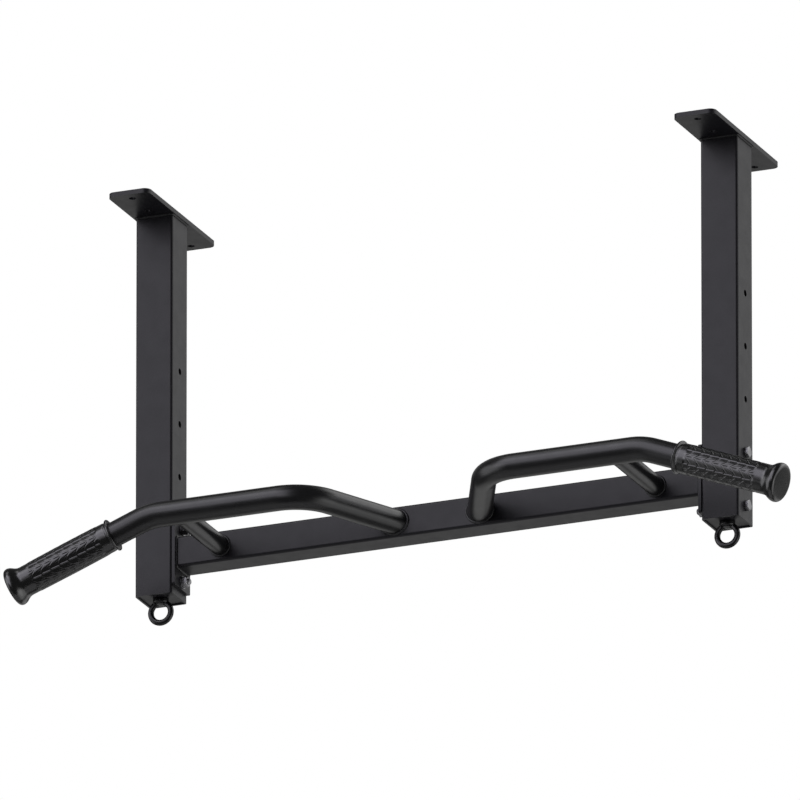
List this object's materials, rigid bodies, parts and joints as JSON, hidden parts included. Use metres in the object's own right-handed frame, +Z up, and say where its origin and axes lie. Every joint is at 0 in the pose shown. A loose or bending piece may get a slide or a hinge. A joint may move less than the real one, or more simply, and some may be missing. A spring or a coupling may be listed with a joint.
{
  "type": "pull up bar",
  "caption": "Ceiling-mounted pull-up bar with hanging square posts, a bolted crossbar with angled multi-grip handles, rubber grips and swivelling eye bolts.",
  "frame": {"origin": "on the ceiling plane, the top faces of the ceiling plates, half way between the posts", "axes": "+Z up; +X along the crossbar, to the right; the handles reach towards -Y, the front"},
  "size_m": [1.0484, 0.2911, 0.5468],
  "materials": {
    "frame_paint": "black powder coat, satin, fine orange peel",
    "handle_paint": "black powder coat, semi-gloss",
    "eye_paint": "black, glossy",
    "zinc": "zinc plated",
    "grip_rubber": "moulded black rubber with raised leaf pattern"
  },
  "bodies": {
    "frame": {"left_ceiling_plate": "frame_paint", "right_ceiling_plate": "frame_paint", "left_post": "frame_paint", "right_post": "frame_paint", "left_post_cap": "frame_paint", "right_post_cap": "frame_paint", "left_eye_nut": "zinc", "right_eye_nut": "zinc", "crossbar": "frame_paint", "left_flange": "frame_paint", "right_flange": "frame_paint", "left_handle": "handle_paint", "right_handle": "handle_paint", "left_brace": "handle_paint", "right_brace": "handle_paint", "left_grip": "grip_rubber", "right_grip": "grip_rubber", "left_bolts": "zinc", "right_bolts": "zinc", "left_washers": "zinc", "right_washers": "zinc", "left_nuts": "zinc", "right_nuts": "zinc"},
    "left_eye": {"left_eye_bolt": "eye_paint"},
    "right_eye": {"right_eye_bolt": "eye_paint"}
  },
  "joints": [
    {"name": "left_eye_turn", "type": "hinge", "parent": "frame", "child": "left_eye", "pos_m": [-0.381, 0, -0.5239], "axis": [0, 0, 1], "range_deg": [-90, 90]},
    {"name": "right_eye_turn", "type": "hinge", "parent": "frame", "child": "right_eye", "pos_m": [0.381, 0, -0.5239], "axis": [0, 0, 1], "range_deg": [-90, 90]}
  ]
}
